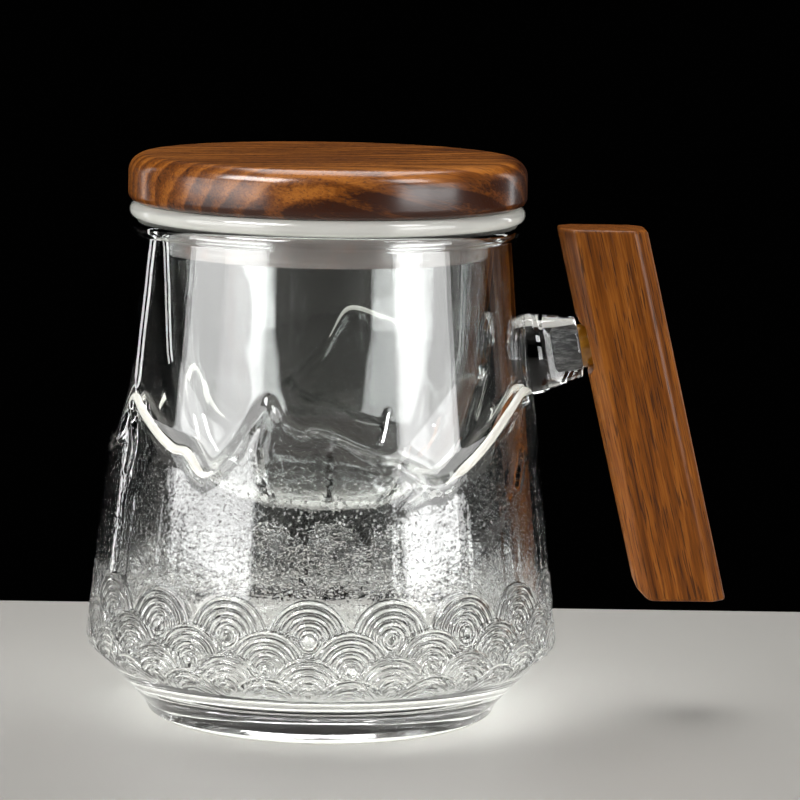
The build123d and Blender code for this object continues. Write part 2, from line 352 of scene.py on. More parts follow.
def buildGlassSkinGroup():
    group, entry, leave = newGroup(
        "glassSkin", {"Position": "Vector", "Hammered": "Float"}, {"Relief": "Float"}
    )
    position = entry["Position"]
    slow = noiseStep(group, position, skinSettings["slowScale"], 1.0)
    slow = mathStep(group, "MULTIPLY", slow, skinSettings["slowHeight"] * mm)
    shake = group.nodes.new("ShaderNodeTexNoise")
    shake.inputs["Scale"].default_value = skinSettings["shakeScale"]
    group.links.new(position, shake.inputs["Vector"])
    warped = group.nodes.new("ShaderNodeVectorMath")
    warped.operation = "MULTIPLY_ADD"
    group.links.new(shake.outputs["Color"], warped.inputs[0])
    warped.inputs[1].default_value = [skinSettings["shakeReach"] * mm] * 3
    group.links.new(position, warped.inputs[2])
    dimple = group.nodes.new("ShaderNodeTexVoronoi")
    dimple.feature = "F1"
    setSockets(dimple, {"Scale": skinSettings["dimpleScale"], "Randomness": 1.0})
    group.links.new(warped.outputs["Vector"], dimple.inputs["Vector"])
    floor, edge = skinSettings["dimple"]
    cells = rangeStep(group, dimple.outputs["Distance"], floor, edge, -skinSettings["dimpleDepth"] * mm, 0.0)
    grit = noiseStep(group, position, skinSettings["gritScale"], 1.0)
    grit = mathStep(group, "MULTIPLY", grit, skinSettings["gritHeight"] * mm)
    hammered = mathStep(group, "MULTIPLY", mathStep(group, "ADD", cells, grit), entry["Hammered"])
    group.links.new(mathStep(group, "ADD", slow, hammered), leave["Relief"])
    return group


# Wood cut from a log: rings round a far pith, fibres and open pores along X

walnutSettings = {
    "bend": (7, 20, 2.0, 0.45),    # noise of the rings: along, across, detail, roughness
    "bendReach": 7.0,    # in ring widths
    "ripple": (28, 110),
    "rippleReach": 0.8,
    "early": (0.0, 0.75),    # shares of a ring in which it darkens, and in which it ends
    "late": (0.82, 1.0),
    "fibre": (90, 2400, 3.0, 0.6),
    "fibreShade": (0.25, 0.75, 0.32),    # low, high, weight in the shade
    "streak": (30, 620, 2.0, 0.6),
    "streakShade": (0.42, 0.78, 0.24),
    "broad": (12, 45),
    "broadShade": (0.3, 0.7, 0.34),
    # Weight of the painted shade and light that a piece brings in
    "paintedShadeWeight": 0.5,
    "pores": (140, 3100, 1.0),
    "poreEdge": (0.59, 0.68),
    "poreShade": 0.75,
    "poreColour": (0.022, 0.008, 0.004),
    "poreDepth": 0.05,
    "fibreHeight": 0.02,
    "colours": [
        (0.12, (0.40, 0.135, 0.020)), (0.52, (0.19, 0.055, 0.007)), (0.98, (0.040, 0.010, 0.003)),
    ],
}


def buildWalnutGroup():
    labels = ("Ring Width", "Figure", "Painted Light And Shade", "Pores")
    group, entry, leave = newGroup(
        "walnutGrain",
        {"Position": "Vector", **{label: "Float" for label in labels}},
        {"Colour": "Color", "Gloss": "Float", "Relief": "Float"},
    )
    noises = ("bend", "ripple", "fibre", "streak", "broad", "pores")
    layers = {name: grainStep(group, entry["Position"], *walnutSettings[name]) for name in noises}
    split = splitStep(group, entry["Position"])
    rings = mathStep(group, "DIVIDE", lengthStep(group, Y=split["Y"], Z=split["Z"]), entry["Ring Width"])
    rings = mathStep(group, "MULTIPLY_ADD", layers["bend"], walnutSettings["bendReach"], rings)
    rings = mathStep(group, "MULTIPLY_ADD", layers["ripple"], walnutSettings["rippleReach"], rings)
    within = mathStep(group, "FRACT", rings)
    early = rangeStep(group, within, *walnutSettings["early"])
    late = rangeStep(group, within, *walnutSettings["late"], 1.0, 0.0)
    shade = mathStep(group, "MULTIPLY", mathStep(group, "MULTIPLY", early, late), entry["Figure"])
    for name in ("fibre", "streak", "broad"):
        low, high, weight = walnutSettings[name + "Shade"]
        shade = mathStep(group, "MULTIPLY_ADD", rangeStep(group, layers[name], low, high), weight, shade)
    # Painted shade and light from the piece, added to the wood's own shade
    shade = mathStep(group, "MULTIPLY_ADD", entry["Painted Light And Shade"], walnutSettings["paintedShadeWeight"], shade)
    pore = rangeStep(group, layers["pores"], *walnutSettings["poreEdge"])
    pore = mathStep(group, "MULTIPLY", pore, entry["Pores"])
    darken = group.nodes.new("ShaderNodeMix")
    darken.data_type = "RGBA"
    group.links.new(mathStep(group, "MULTIPLY", pore, walnutSettings["poreShade"]), darken.inputs["Factor"])
    group.links.new(rampStep(group, shade, *walnutSettings["colours"]), darken.inputs["A"])
    darken.inputs["B"].default_value = (*walnutSettings["poreColour"], 1)
    group.links.new(darken.outputs["Result"], leave["Colour"])
    gloss = mathStep(group, "MULTIPLY_ADD", layers["fibre"], 0.2, 0.28)
    group.links.new(mathStep(group, "MULTIPLY_ADD", pore, 0.25, gloss), leave["Gloss"])
    dip = mathStep(group, "MULTIPLY", pore, -walnutSettings["poreDepth"] * mm)
    relief = mathStep(group, "MULTIPLY_ADD", layers["fibre"], walnutSettings["fibreHeight"] * mm, dip)
    group.links.new(relief, leave["Relief"])
    return group


waveGroup = buildWaveGroup()
glassSkinGroup = buildGlassSkinGroup()
walnutGroup = buildWalnutGroup()
print("shared node groups built")


# Materials

glassSettings = {
    "tint": (0.985, 0.995, 0.99),
    "stubTint": (0.985, 0.995, 0.985),
    "lampTint": (0.93, 0.94, 0.94),    # what is left of lamp light behind a wall
    "smudgeScale": 60,
    "smudge": (0.45, 0.8, 0.0, 0.035),    # noise from and to, roughness from and to
}


def buildGlass(name, tint, pressed=False):
    # pressed glass has the masks for its hammered ground and its scales
    material, tree, shader, position = newMaterial(name)
    setSockets(shader, {"Base Color": (*tint, 1), "Transmission Weight": 1.0, "IOR": 1.5})
    skin = placeGroup(tree, glassSkinGroup, position)
    skin.inputs["Hammered"].default_value = 0.0
    height = skin.outputs["Relief"]
    smudge = noiseStep(tree, position, glassSettings["smudgeScale"], 3.0)
    tree.links.new(rangeStep(tree, smudge, *glassSettings["smudge"]), shader.inputs["Roughness"])
    if pressed:
        masks = {}
        for label in ("hammered", "waves"):
            mask = tree.nodes.new("ShaderNodeAttribute")
            mask.attribute_name = label
            masks[label] = mask.outputs["Fac"]
        tree.links.new(masks["hammered"], skin.inputs["Hammered"])
        waves = placeGroup(tree, waveGroup, position)
        height = mathStep(tree, "MULTIPLY_ADD", waves.outputs["Relief"], masks["waves"], height)
    addBump(tree, height, shader)
    letLampsThrough(tree, shader, glassSettings["lampTint"])
    return material


def buildCloudy(name, scale, colours, roughness, relief, sockets, lampTint=None):
    # Finish with a faint cloud in its colour, gloss and surface
    material, tree, shader, position = newMaterial(name)
    cloud = noiseStep(tree, position, scale, 3.0)
    colour = rampStep(tree, cloud, (0.0, colours[0]), (1.0, colours[1]))
    tree.links.new(colour, shader.inputs["Base Color"])
    tree.links.new(rangeStep(tree, cloud, 0.3, 0.7, *roughness), shader.inputs["Roughness"])
    setSockets(shader, sockets)
    addBump(tree, mathStep(tree, "MULTIPLY", cloud, relief * mm), shader)
    if lampTint:
        letLampsThrough(tree, shader, lampTint)
    return material


# Painted shade and light: the front of the lid's rim is darkened up to a slanted and uneven border, and the
# top above it is lightened
paintedShadeSettings = {
    "height": 113.5,
    "slant": 0.12,
    "noiseScale": 60,
    "noiseReach": 9,
    "fade": 5,
    "shades": (-0.3, 1.0),    # above and below the border
}


def buildWalnut(name, turn, shift, ringWidth, figure, pores, coat, paintedLightAndShade=False):
    # turn, in degrees, and shift say how the piece lies in the log
    material, tree, shader, position = newMaterial(name)
    turn = [math.radians(value) for value in turn]
    shift = [value * mm for value in shift]
    grain = placeGroup(tree, walnutGroup, stretchStep(tree, position, (1, 1, 1), turn, shift))
    setSockets(grain, {"Ring Width": ringWidth * mm, "Figure": figure, "Painted Light And Shade": 0.0, "Pores": pores})
    # Painted shade on the lid's rim below the border, painted light on its top above it
    if paintedLightAndShade:
        split = splitStep(tree, position)
        noise = noiseStep(tree, position, paintedShadeSettings["noiseScale"], 3.0)
        border = mathStep(
            tree, "MULTIPLY_ADD", noise, paintedShadeSettings["noiseReach"] * mm, paintedShadeSettings["height"] * mm
        )
        border = mathStep(tree, "MULTIPLY_ADD", split["X"], paintedShadeSettings["slant"], border)
        depth = mathStep(tree, "SUBTRACT", border, split["Z"])
        paintedShade = rangeStep(tree, depth, 0.0, paintedShadeSettings["fade"] * mm, *paintedShadeSettings["shades"])
        tree.links.new(paintedShade, grain.inputs["Painted Light And Shade"])
    tree.links.new(grain.outputs["Colour"], shader.inputs["Base Color"])
    tree.links.new(grain.outputs["Gloss"], shader.inputs["Roughness"])
    setSockets(shader, {"Coat Weight": coat, "Coat Roughness": 0.19, "Specular IOR Level": 0.06})
    addBump(tree, grain.outputs["Relief"], shader)
    return material


def buildDowelWood():
    # Sawn across its grain, so the streaks run at a slant
    material, tree, shader, position = newMaterial("dowelWood")
    sawn = stretchStep(tree, position, (300, 1400, 1400), (0, math.radians(-38), 0))
    streak = noiseStep(tree, sawn, 1.0, 4.0, 0.7)
    colour = rampStep(tree, streak, (0.44, (0.012, 0.012, 0.012)), (0.64, (0.13, 0.128, 0.125)))
    tree.links.new(colour, shader.inputs["Base Color"])
    tree.links.new(rangeStep(tree, streak, 0.2, 0.8, 0.75, 0.45), shader.inputs["Roughness"])
    addBump(tree, mathStep(tree, "MULTIPLY", streak, 0.3 * mm), shader)
    return material


# Painted glow: the glass of the flange and the foot ring is partly milky cream, standing in for light
# glowing in the thick glass edges
glowLipGlass = buildCloudy(
    "paintedGlowLip", 180, ((0.891, 0.891, 0.837), (0.99, 0.99, 0.93)), (0.02, 0.09), 0.05,
    {"Transmission Weight": 0.40, "IOR": 1.5}, glassSettings["lampTint"],
)
# Painted glow: the ridge beads' glass is partly milky cream, standing in for the light the beads catch
glowBeadGlass = buildCloudy(
    "paintedGlowBead", 180, ((0.891, 0.873, 0.819), (0.99, 0.97, 0.91)), (0.02, 0.09), 0.05,
    {"Transmission Weight": 0.62, "IOR": 1.5}, glassSettings["lampTint"],
)
mugGlass = buildGlass("pressedGlass", glassSettings["tint"], pressed=True)
infuserGlass = buildGlass("infuserGlass", glassSettings["tint"])
stubGlass = buildGlass("stubGlass", glassSettings["stubTint"])
# The lid carries the painted rim shade and top light
lidWalnut = buildWalnut("lidWalnut", (8, -8, -28), (0, 55, -85), 5.0, 0.38, 0.6, 0.6, paintedLightAndShade=True)
gripWalnut = buildWalnut("gripWalnut", (0, 103.5, 0), (0, 28, 30), 4.0, 0.16, 0.9, 0.2)
clearSilicone = buildCloudy(
    "clearSilicone", 140, ((0.88, 0.87, 0.85), (0.97, 0.96, 0.95)), (0.14, 0.26), 0.03,
    {"Transmission Weight": 0.95, "IOR": 1.41}, (0.90, 0.89, 0.87),
)
amberAdhesive = buildCloudy(
    "amberAdhesive", 500, ((0.22, 0.075, 0.008), (0.50, 0.22, 0.015)), (0.08, 0.25), 0.25,
    {"Transmission Weight": 0.3, "Coat Weight": 0.6},
)
dowelWood = buildDowelWood()
print("materials built")


# Glass body: turned outline, then the mountains and scales pushed out of its wall

mugSettings = {
    "columns": 600,
    "foot": [    # half section of the underside and the chamfer: x, z, corner radius
        (0, 1.5, 0), (16, 1.5, 0), (31.0, 1.5, 0.5), (32.4, 0.0, 0.5), (38.0, 0.0, 0.8), (39.1, 2.4, 0.7),
        (42.0, 5.55, 0), (44.0, 7.72, 0), (46.0, 9.88, 0), (47.5, 11.51, 0),
    ],
    "shoulderRound": 3.0,
    "waveRows": (17.0, 33.5, 0.5),    # first row, end, row height in the wave band
    "rangeRows": (33.5, 86.0, 1.0),    # the same in the mountains
    "neckRows": [91.0, 97.0, 102.5],
    "neckEnd": 104.0,
    "neckRound": 0.6,
    "lip": [(41.8, 104.6, 0.6), (41.8, 107.0, 1.49), (38.8, 107.0, 1.49), (38.5, 104.8, 1.0)],
    "wall": 2.5,
    "insideRows": [98, 80, 60, 40],
    "floor": 9.0,
    "floorRound": 14.0,
    "floorRing": 16,
    "outside": (46, 0.9),    # the outside begins at this radius or the cone's, less a slack
    "reliefHeights": (11.2, 101),
    "step": 0.55,    # how far the ground below the ridge stands out
    "stepWidth": 0.9,
    "bead": 0.6,    # how far the wall swells up to the ridge line's bead
    "beadWidth": 1.5,
    "foldWidth": 1.4,
    "unrollRadius": 45.5,    # radius at which distances on the wall are measured
    "waveLift": 1.25,    # the scales' plates are pushed out by this share of their thickness
    "waveFoot": (13.2, 14.6),    # relief sets in over these heights
    "plateTop": (34.0, 33.0),    # the plates end
    "ringTop": (34.5, 33.5),    # the rings end
    "rangeFoot": (30.0, 26.0),    # the mountains fall to half behind the plates
    "stub": (44, 78.2),    # radius and height of the stub's foot, which lies on plain wall
    "stubClear": (8.6, 9.8),
}

# Ridge line of the mountains, all the way round: degrees from the front, height, strength of its bead
ridgeLine = [
    (-82.9, 57.7, 0.8), (-73.4, 61.1, 0.8), (-63.5, 70.4, 1.0), (-56.8, 68.0, 1.1), (-49.6, 64.5, 1.2),
    (-42.8, 61.8, 1.2), (-37.8, 61.3, 1.1), (-31.8, 57.2, 1.1), (-25.2, 61.8, 0.9), (-20.8, 67.2, 0.9),
    (-15.4, 73.0, 0.9), (-11.9, 68.7, 0.9), (-5.7, 65.8, 0.9), (-2.1, 66.7, 1.0), (5.4, 64.8, 0.7),
    (8.7, 63.3, 0.6), (14.5, 61.6, 0.5), (20.7, 60.4, 0.6), (27.9, 57.3, 0.8), (30.8, 55.4, 0.9),
    (33.9, 56.6, 1.0), (39.8, 59.3, 1.2), (45.6, 62.2, 1.3), (52.4, 65.8, 1.3), (59.7, 69.3, 1.2),
    (69.0, 72.2, 1.0), (80.0, 71.5, 0.8), (96.0, 73.7, 0.8), (106.0, 66.0, 0.9), (113.0, 60.0, 1.0),
    (120.0, 63.2, 0.9), (128.0, 57.5, 0.9), (140.5, 65.3, 1.0), (154.4, 78.8, 1.1), (162.7, 81.7, 1.1),
    (172.8, 83.0, 1.1), (178.8, 76.1, 1.0), (183.1, 70.8, 0.9), (196.0, 61.0, 0.9), (206.0, 55.5, 0.9),
    (218.4, 60.1, 1.0), (228.9, 69.4, 1.1), (238.0, 63.0, 0.9), (248.0, 56.0, 0.9), (258.0, 61.3, 1.0),
    (268.0, 56.5, 0.8), (277.1, 57.7, 0.8),
]

# Lower folds on the mountain sides, as short lines of a weaker bead
foldLines = [
    [(45.5, 45.5, 0.3), (52.0, 48.5, 0.7), (60.2, 52.7, 0.8), (64.7, 58.6, 0.5)],
    [(17.7, 51.2, 0.2), (25.0, 54.5, 0.5), (31.7, 56.3, 0.5)],
    [(-63.0, 69.0, 0.6), (-60.0, 61.0, 0.5), (-61.5, 54.0, 0.2)],
    [(-15.0, 72.0, 0.6), (-17.5, 63.0, 0.5), (-15.5, 56.0, 0.2)],
    [(96.0, 73.0, 0.6), (99.0, 64.0, 0.5), (97.0, 56.0, 0.2)],
    [(146.0, 69.0, 0.6), (150.0, 60.0, 0.4), (149.0, 52.0, 0.2)],
    [(170.0, 82.0, 0.7), (166.0, 70.0, 0.6), (169.0, 58.0, 0.3)],
    [(229.0, 69.0, 0.6), (226.0, 60.0, 0.5), (228.0, 52.0, 0.2)],
]


def smoothRing(line, steps):
    # More points on a smooth curve through a line that goes once round the mug and ends where it starts
    spots = [numpy.array(spot, dtype=float) for spot in line]
    around = numpy.array((360.0, 0.0, 0.0))
    spots = [spots[-2] - around, *spots, spots[1] + around]
    curve = []
    for before, here, there, after in zip(spots, spots[1:], spots[2:], spots[3:]):
        for step in range(steps):
            share = step / steps
            bend = (2 * before - 5 * here + 4 * there - after) * share ** 2
            twist = (3 * here - before - 3 * there + after) * share ** 3
            curve.append(0.5 * (2 * here + (there - before) * share + bend + twist))
    return [*curve, spots[-2]]


def nearestOnLine(line, angles, heights):
    # Distance in millimetres from each point of the wall to a drawn line, and the bead's strength there
    unroll = math.radians(1) * mugSettings["unrollRadius"]
    least = numpy.full(angles.shape, numpy.inf)
    strength = numpy.zeros(angles.shape)
    for (angleA, heightA, beadA), (angleB, heightB, beadB) in zip(line, line[1:]):
        startX, startZ = angleA * unroll, heightA
        alongX, alongZ = angleB * unroll - startX, heightB - startZ
        for turn in (-360, 0, 360):
            offX, offZ = (angles + turn) * unroll - startX, heights - startZ
            share = numpy.clip((offX * alongX + offZ * alongZ) / (alongX ** 2 + alongZ ** 2), 0, 1)
            distance = numpy.hypot(offX - share * alongX, offZ - share * alongZ)
            closer = distance < least
            least = numpy.where(closer, distance, least)
            strength = numpy.where(closer, beadA + share * (beadB - beadA), strength)
    return least, strength


def mountainRelief(angles, heights):
    ridge = smoothRing(ridgeLine, 3)
    distance, strength = nearestOnLine(ridge, angles, heights)
    ridgeAngles = [spot[0] for spot in ridge]
    ridgeHeights = [spot[1] for spot in ridge]
    crest = numpy.interp((angles - ridgeAngles[0]) % 360 + ridgeAngles[0], ridgeAngles, ridgeHeights)
    inward = numpy.where(heights < crest, distance, -distance)
    ground = smoothStep(-mugSettings["stepWidth"], mugSettings["stepWidth"], inward)
    bead = mugSettings["bead"] * numpy.exp(-(distance / mugSettings["beadWidth"]) ** 2)
    relief = ground * mugSettings["step"] + strength * bead
    for fold in foldLines:
        distance, strength = nearestOnLine(fold, angles, heights)
        bead = mugSettings["bead"] * numpy.exp(-(distance / mugSettings["foldWidth"]) ** 2)
        relief += strength * bead
    return relief, ground


def waveRelief(angles, heights):
    # Height of the overlapping plates and how much of each point is covered by one
    relief = numpy.zeros(angles.shape)
    covered = numpy.zeros(angles.shape)
    step = 360 / waveSettings["count"]
    radius = waveSettings["radius"]
    outer, inner = waveSettings["plateEdge"]
    for row, centre in enumerate(waveSettings["centres"]):
        start = waveSettings["turn"] + row % 2 * step / 2
        offCentre = (angles - start + step / 2) % step - step / 2
        across = offCentre * math.radians(1) * waveSettings["ringRadius"]
        distance = numpy.hypot(across, heights - centre)
        inside = smoothStep(radius + outer, radius + inner, distance)
        plate = waveSettings["plate"]
        for extra, low, high in (waveSettings["plateRim"], waveSettings["plateEye"]):
            plate = plate + extra * smoothStep(low, high, distance)
        relief += (plate - relief) * inside
        covered += (1 - covered) * inside
    return relief, covered


def mugCorners():
    # Half section of the glass, up the outside and down the inside
    rows = [
        *numpy.arange(*mugSettings["waveRows"]), *numpy.arange(*mugSettings["rangeRows"]),
        *mugSettings["neckRows"],
    ]
    wall, floor, neckEnd = mugSettings["wall"], mugSettings["floor"], mugSettings["neckEnd"]
    return [
        *mugSettings["foot"],
        (coneSettings["shoulderRadius"], coneSettings["shoulderHeight"], mugSettings["shoulderRound"]),
        *[(coneRadius(height), height, 0) for height in rows],
        (coneRadius(neckEnd), neckEnd, mugSettings["neckRound"]),
        *mugSettings["lip"],
        *[(coneRadius(height) - wall, height, 0) for height in mugSettings["insideRows"]],
        (coneRadius(floor) - wall, floor, mugSettings["floorRound"]),
        (mugSettings["floorRing"], floor, 0),
        (0, floor, 0),
    ]


def buildMugShell():
    piece = drawOutline("mug_shell", roundCorners(mugCorners()))
    spinOutline(mugSettings["columns"])
    points = numpy.empty(len(piece.data.vertices) * 3)
    piece.data.vertices.foreach_get("co", points)
    points = points.reshape(-1, 3) / mm
    radius = numpy.hypot(points[:, 0], points[:, 1])
    angles = numpy.degrees(numpy.arctan2(points[:, 0], -points[:, 1]))
    heights = points[:, 2]
    outer, slack = mugSettings["outside"]
    lowest, highest = mugSettings["reliefHeights"]
    outside = radius > numpy.minimum(coneRadius(heights), outer) - slack
    outside &= (heights > lowest) & (heights < highest)
    mountains, ground = mountainRelief(angles, heights)
    waves, covered = waveRelief(angles, heights)
    foot = smoothStep(*mugSettings["waveFoot"], heights)
    waveZone = smoothStep(*mugSettings["plateTop"], heights)
    mountains *= 1 - smoothStep(*mugSettings["rangeFoot"], heights) * 0.5
    relief = (mountains * (1 - covered * waveZone) + waves * waveZone * mugSettings["waveLift"]) * foot
    stubRadius, stubHeight = mugSettings["stub"]
    offStub = numpy.hypot((angles - 90) * math.radians(1) * stubRadius, heights - stubHeight)
    clearOfStub = smoothStep(*mugSettings["stubClear"], offStub)
    relief = numpy.where(outside, relief * clearOfStub, 0)
    grow = 1 + relief / numpy.maximum(radius, 1)
    points[:, 0] *= grow
    points[:, 1] *= grow
    piece.data.vertices.foreach_set("co", (points * mm).ravel())
    piece.data.update()
    paintMask(piece, "hammered", numpy.where(outside, ground * (1 - covered) * foot * clearOfStub, 0))
    paintMask(piece, "waves", numpy.where(outside, foot * smoothStep(*mugSettings["ringTop"], heights), 0))
    # The foot ring's faces take the painted glow
    finishPiece(
        piece, "mug", mugGlass, ["mug_body"],
        smoothAngle=60, lip=glowLipGlass, lipBelow=0.9,
    )


# Rounded rods of glass along the strongest stretches of the ridge line, half sunk in the wall

beadSettings = {
    "runs": [    # first and last degrees from the front, radius
        (-68, -28.5, 0.92), (32.5, 79.5, 0.92), (100.5, 121, 0.8), (149, 179, 0.55), (214, 241, 0.7),
    ],
    "lift": 0.35,    # how far a rod's middle stands off the smooth cone
    "fade": 7,    # degrees over which an end thins out
    "thinnest": 0.25,    # share of the radius that is left at an end
}


def layBead(ridge, first, last, thickness):
    selectOnly()
    bpy.ops.curve.primitive_nurbs_path_add()
    rod = bpy.context.object
    line = [spot for spot in ridge if first <= spot[0] <= last]
    rod.data.splines.clear()
    spline = rod.data.splines.new("POLY")
    spline.points.add(len(line) - 1)
    thinnest = beadSettings["thinnest"]
    for point, (angle, height, strength) in zip(spline.points, line):
        turn = math.radians(angle)
        radius = (coneRadius(height) + beadSettings["lift"]) * mm
        point.co = (math.sin(turn) * radius, -math.cos(turn) * radius, height * mm, 1)
        full = float(smoothStep(0, beadSettings["fade"], min(angle - first, last - angle)))
        point.radius = thickness * (thinnest + (1 - thinnest) * full)
    rod.data.bevel_depth = mm
    rod.data.bevel_resolution = 4
    rod.data.use_fill_caps = True
    bpy.ops.object.convert(target="MESH")
    return bpy.context.object


def buildRidgeBeads():
    ridge = smoothRing(ridgeLine, 6)
    selectOnly(*[layBead(ridge, *run) for run in beadSettings["runs"]])
    bpy.ops.object.join()
    piece = nameNew("ridge_beads")
    bpy.ops.object.mode_set(mode="EDIT")
    closeMesh()
    bpy.ops.object.mode_set(mode="OBJECT")
    # The beads' glass carries the painted glow
    finishPiece(piece, "mug", glowBeadGlass, ["mug_body"], smoothAngle=60)


buildMugShell()
buildRidgeBeads()


# Glass stub: a turned boss on a tilted axis, its foot laid on the wall. The dowel is bedded in it,
# without an air gap.

stubSettings = {
    "columns": 128,
    "height": 78.2,
    "tilt": 10.0,    # degrees
    "length": 11.3,
    "corners": [    # along the axis, away from the axis, corner radius
        (-0.4, 0.0, 0), (-0.4, 2.5, 0), (-0.4, 5.0, 0), (-0.4, 7.0, 0), (-0.4, 8.8, 0),
        (1.9, 8.8, 0.9), (2.8, 8.35, 0.8), (11.3, 6.6, 0.8), (11.3, 3.0, 0), (11.3, 0.0, 0),
    ],
    "footEnd": -0.3,    # what lies nearer to the mug than this is laid on the wall
    "footGap": 0.03,
}


def stubPlace():
    # Where the stub's axis leaves the cone, and which way it points
    tilt = math.radians(stubSettings["tilt"])
    root = Vector((coneRadius(stubSettings["height"]), 0, stubSettings["height"]))
    return root, Vector((math.cos(tilt), 0, math.sin(tilt)))


def buildStub():
    root, ahead = stubPlace()
    upright = Vector((-ahead.z, 0, ahead.x))
    outline = []
    for along, away in roundCorners(stubSettings["corners"]):
        spot = root + ahead * along + upright * away
        outline.append(Vector((spot.x, spot.z)))
    piece = drawOutline("stub_boss", outline)
    spinOutline(stubSettings["columns"], root * mm, ahead)
    for vertex in piece.data.vertices:
        spot = vertex.co / mm
        if (spot - root).dot(ahead) < stubSettings["footEnd"]:
            for turn in range(4):    # slides along the stub's axis until it lies on the cone
                spot += ahead * (coneRadius(spot.z) + stubSettings["footGap"] - math.hypot(spot.x, spot.y))
            vertex.co = spot * mm
    finishPiece(piece, "mug", stubGlass, ["handle_stub"], smoothAngle=40)


buildStub()


# Infuser: turned outline, then slots opened through both walls

infuserSettings = {
    "columns": 288,
    "corners": [
        (0, 46.0, 0), (12, 46.0, 0), (28.6, 46.0, 20.0), (36.6, 76.0, 30.0), (36.95, 90.0, 0),
        (37.4, 107.5, 1.6), (39.9, 107.5, 0.8), (40.9, 107.1, 0), (42.65, 107.1, 1.69),
        (42.65, 110.5, 1.69), (40.9, 110.5, 0), (39.9, 110.1, 0.8), (35.2, 110.1, 1.0), (34.75, 90.0, 0),
        (34.45, 76.6, 27.8), (26.9, 48.2, 17.8), (12, 48.2, 0), (0, 48.2, 0),
    ],
    "neckRows": [98.0, 103.0],
    "slotEvery": 24,    # columns from one slot to the next
    "slotFirst": 2,
    "slotLow": 50.5,
    "slotHigh": 62.5,
    "slotRound": 0.55,    # how far a slot's corners move in to round its ends
    "slotInside": 20,    # the slots lie further out than this
    "near": 0.05,    # how close a vertex is to a height to be in its row
}


def addRows(outline, heights):
    # Puts extra rows on the long runs of an outline, so that a slot can end there
    near = infuserSettings["near"]
    rows = [outline[0]]
    for here, there in zip(outline, outline[1:]):
        low, high = sorted((here.y, there.y))
        cuts = [height for height in heights if low + near < height < high - near]
        for height in sorted(cuts, reverse=there.y < here.y):
            rows.append(here.lerp(there, (height - here.y) / (there.y - here.y)))
        rows.append(there)
    return rows


def columnsOffSlot(spot):
    # Columns from a point to the middle of the nearest slot
    every = infuserSettings["slotEvery"]
    column = 360 / infuserSettings["columns"]
    place = math.degrees(math.atan2(spot.y, spot.x)) / column - infuserSettings["slotFirst"]
    return abs((place + every / 2) % every - every / 2)


def buildInfuser():
    low, high, near = (infuserSettings[name] for name in ("slotLow", "slotHigh", "near"))
    outline = roundCorners(infuserSettings["corners"], arcStep=0.1)
    piece = drawOutline("infuser_basket", addRows(outline, [low, high, *infuserSettings["neckRows"]]))
    spinOutline(infuserSettings["columns"])
    mesh = piece.data
    deselectMesh(mesh)
    for face in mesh.polygons:
        centre = face.center / mm
        outer = math.hypot(centre.x, centre.y) > infuserSettings["slotInside"]
        face.select = outer and low < centre.z < high and columnsOffSlot(centre) < 1
    bpy.ops.object.mode_set(mode="EDIT")
    bpy.ops.mesh.select_mode(type="FACE")
    bpy.ops.mesh.delete(type="FACE")
    bpy.ops.mesh.select_all(action="DESELECT")
    bpy.ops.mesh.select_mode(type="EDGE")
    bpy.ops.mesh.select_non_manifold()
    bpy.ops.mesh.bridge_edge_loops(type="PAIRS")
    bpy.ops.mesh.select_all(action="SELECT")
    bpy.ops.mesh.normals_make_consistent(inside=False)
    bpy.ops.mesh.select_mode(type="VERT")
    bpy.ops.object.mode_set(mode="OBJECT")
    for vertex in mesh.vertices:
        spot = vertex.co / mm
        if abs(columnsOffSlot(spot) - 1) < 0.1:    # on a slot's side
            for end, inward in ((low, 1), (high, -1)):
                if abs(spot.z - end) < near:
                    vertex.co.z += inward * infuserSettings["slotRound"] * mm
    # The flange's faces take the painted glow
    finishPiece(
        piece, "infuser", infuserGlass, ["infuser"],
        smoothAngle=40, lip=glowLipGlass, lipAbove=107.0,
    )


buildInfuser()


# Lid: turned disc with its plug, and the silicone ring round the plug

lidSettings = {
    "columns": 256,
    "corners": [
        (0, 100.0, 0), (20, 100.0, 0), (32.55, 100.0, 1.5), (32.55, 110.6, 0), (43.0, 110.6, 2.0),
        (43.0, 120.9, 4.0), (20, 120.9, 0), (0, 120.9, 0),
    ],
    "sealCorners": [
        (32.62, 99.9, 0.2), (34.75, 99.9, 0.75), (34.75, 101.7, 0.6), (34.5, 102.4, 0.6),
        (34.5, 110.2, 0.7), (32.62, 110.2, 0.2),
    ],
}


def buildLid():
    piece = drawOutline("lid_disc", roundCorners(lidSettings["corners"], arcStep=0.13))
    spinOutline(lidSettings["columns"])
    finishPiece(piece, "lid", lidWalnut, ["lid"], smoothAngle=35)


def buildSeal():
    outline = roundCorners(lidSettings["sealCorners"], arcStep=0.25)
    piece = drawOutline("seal_ring", [*outline, outline[0]])
    spinOutline(lidSettings["columns"])
    finishPiece(piece, "lid", clearSilicone, ["lid_seal"], smoothAngle=50)


buildLid()
buildSeal()


# Grip: a bevelled bar cut level at both ends, with a spot face for the stub

gripSettings = {
    "width": 18.6,
    "depth": 15.0,
    "rawLength": 140.0,    # before its ends are cut
    "bevel": 2.8,
    "lean": 13.5,    # degrees
    "top": 106.2,
    "bottom": 25.3,
    "heel": 1.4,
    "softEdge": 0.8,
    "softAngle": 20,    # degrees from which an edge is rounded
    "glueGap": 0.9,
    "spotRadius": 7.4,
    "spotDepth": 1.2,
    "spotPeg": 10,    # length of the peg that cuts the spot face
    "holeRadius": 3.4,
    "holeDepth": 9.1,
}


